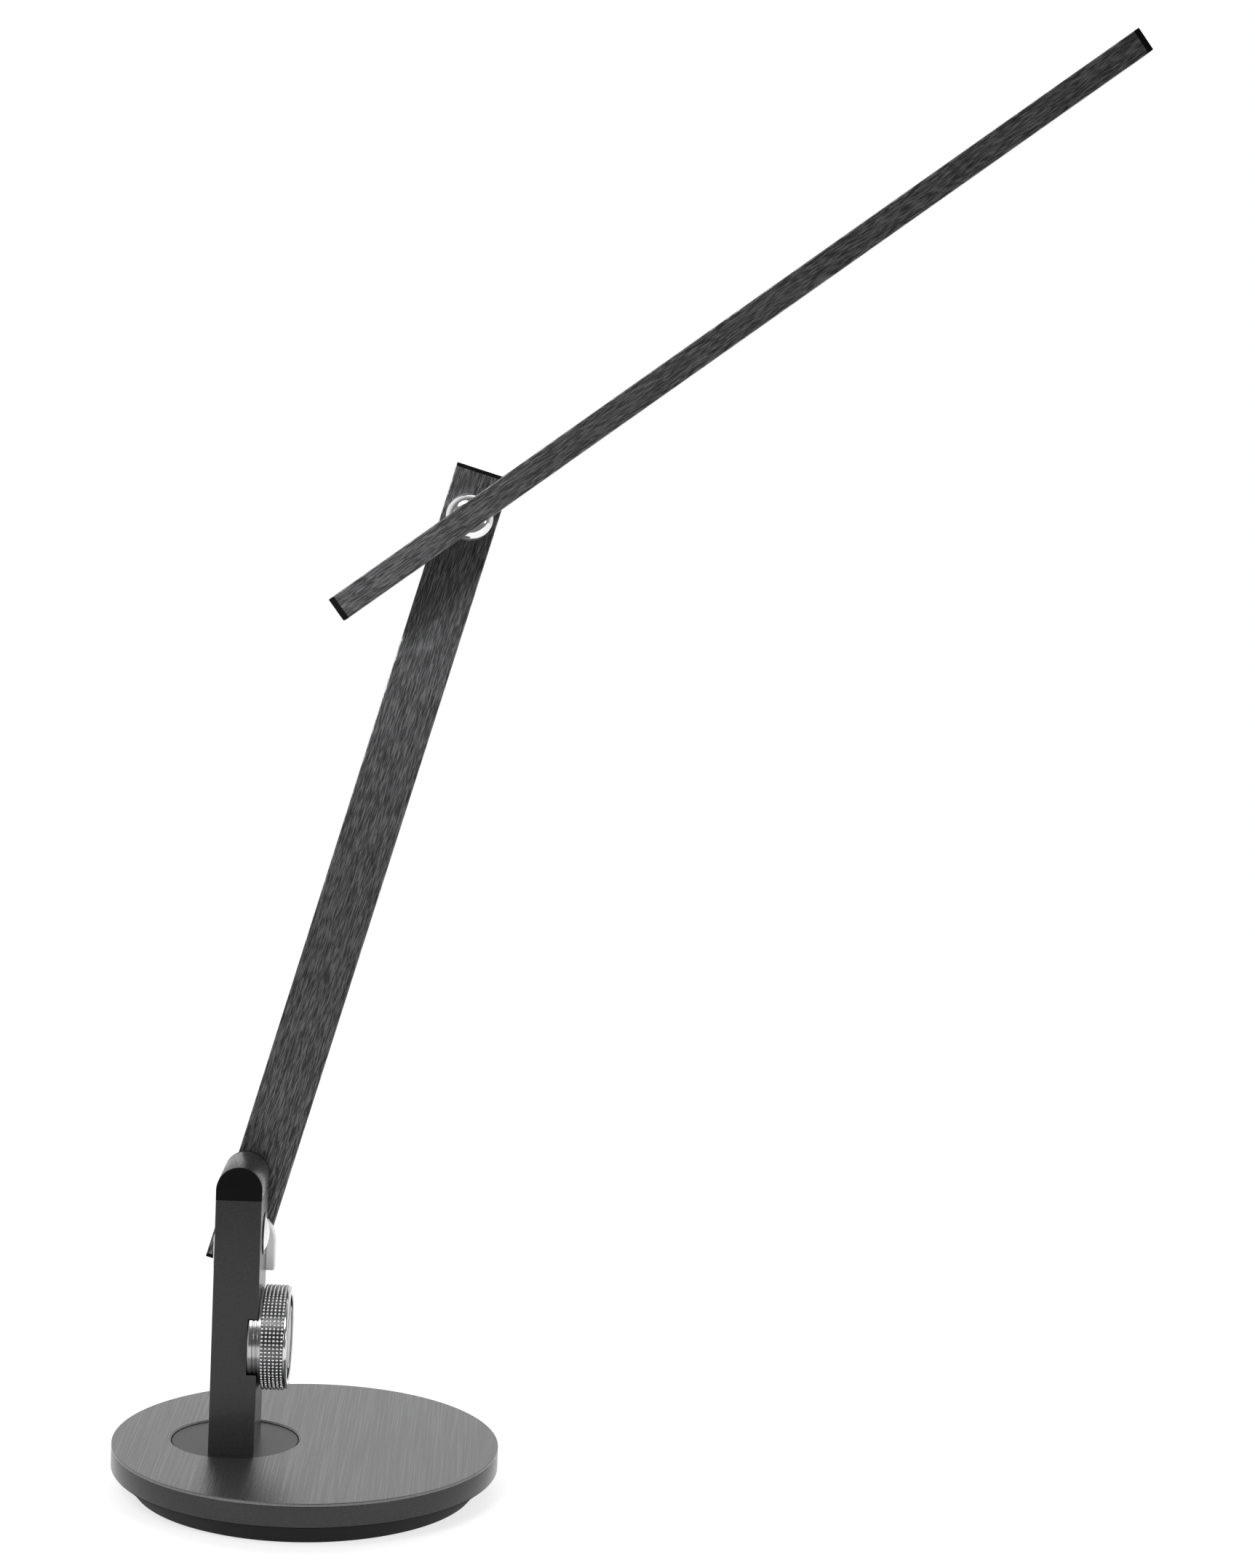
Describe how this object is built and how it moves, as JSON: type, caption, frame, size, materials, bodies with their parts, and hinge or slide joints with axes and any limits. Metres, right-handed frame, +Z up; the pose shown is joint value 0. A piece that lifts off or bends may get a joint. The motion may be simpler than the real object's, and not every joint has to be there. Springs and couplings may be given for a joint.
{
  "type": "desk lamp",
  "caption": "Slim dimmable desk lamp with a weighted round base, swivelling post, flat lower arm and a thin counterweighted light bar on friction pivots.",
  "frame": {"origin": "centre of the underside of the round base, on the table plane", "axes": "+Z up; +X the way the arms lean and the light bar reaches; +Y the side of the post that carries the arms"},
  "size_m": [0.525, 0.21, 0.8033],
  "materials": {
    "brushed_dark": "directional brushed, dark anodised",
    "painted_dark": "fine satin paint",
    "barrel_metal": "turned and brushed",
    "chrome": "polished",
    "satin_chrome": "satin",
    "black_plastic": "fine matt",
    "rubber_pad": "matt",
    "cast_weight": "rough cast",
    "zinc_steel": "zinc plated",
    "bronze": "machined",
    "fibre": "fibre washer",
    "white_nylon": "nylon",
    "circuit_board": "solder mask",
    "board_white": "white solder mask",
    "led_yellow": "phosphor",
    "diffuser_opal": "opal",
    "lead_black": "lead sheath"
  },
  "bodies": {
    "base": {"base_top_plate": "brushed_dark", "base_rim": "painted_dark", "base_tray": "black_plastic", "base_pad": "rubber_pad", "base_weight": "cast_weight", "base_screws": "zinc_steel", "swivel_cup": "zinc_steel", "swivel_bush": "bronze", "swivel_washer": "white_nylon", "inlet_socket": "black_plastic", "inlet_pin": "bronze"},
    "post": {"swivel_disc": "painted_dark", "swivel_stud": "zinc_steel", "swivel_nut": "zinc_steel", "swivel_spring_washer": "zinc_steel", "post_screws": "zinc_steel", "post_casing": "painted_dark", "arch_barrel": "barrel_metal", "arch_front_cap": "black_plastic", "arch_rear_cap": "black_plastic", "pivot_block": "zinc_steel", "pivot_bracket": "satin_chrome", "lower_pivot_bolt": "zinc_steel", "lower_friction_washers": "fibre", "lower_pivot_nut": "chrome", "control_board": "circuit_board", "dimmer_body": "black_plastic", "switch_body": "black_plastic", "button_bezel": "chrome"},
    "knob": {"knob_hub": "chrome", "knob_ring": "chrome", "knob_core": "black_plastic", "knob_bezel": "chrome", "knob_centre": "chrome", "knob_shaft": "zinc_steel"},
    "button": {"button_cap": "chrome", "button_stem": "black_plastic"},
    "lower_arm": {"lower_arm_tube": "brushed_dark", "arm_top_cap": "black_plastic", "arm_bottom_cap": "black_plastic", "arm_spacers": "zinc_steel", "arm_lead": "lead_black", "upper_pivot_bolt": "chrome", "upper_pivot_dome": "chrome", "upper_friction_washer": "fibre", "upper_pivot_nut": "zinc_steel"},
    "light_bar": {"head_profile": "brushed_dark", "head_tip_cap": "black_plastic", "head_tail_cap": "black_plastic", "counterweight": "zinc_steel", "head_spacer": "zinc_steel", "led_board": "board_white", "led_chips": "led_yellow", "diffuser": "diffuser_opal"}
  },
  "joints": [
    {"name": "post_swivel", "type": "hinge", "parent": "base", "child": "post", "pos_m": [-0.0386, 0, 0.0255], "axis": [0, 0, 1], "range_deg": [-150, 150]},
    {"name": "lower_arm_tilt", "type": "hinge", "parent": "post", "child": "lower_arm", "pos_m": [-0.0386, 0.0325, 0.1405], "axis": [0, 1, 0], "range_deg": [-40, 30]},
    {"name": "light_bar_tilt", "type": "hinge", "parent": "lower_arm", "child": "light_bar", "pos_m": [0.06956, 0.004, 0.53183], "axis": [0, 1, 0], "range_deg": [-45, 65]},
    {"name": "dimmer_turn", "type": "hinge", "parent": "post", "child": "knob", "pos_m": [-0.0183, -0.0035, 0.0835], "axis": [1, 0, 0], "range_deg": [-135, 135]},
    {"name": "power_button_press", "type": "slide", "parent": "post", "child": "button", "axis": [-1, 0, 0], "range_m": [0, 0.0015], "stiffness_N_per_m": 300, "springref_m": -0.002}
  ]
}
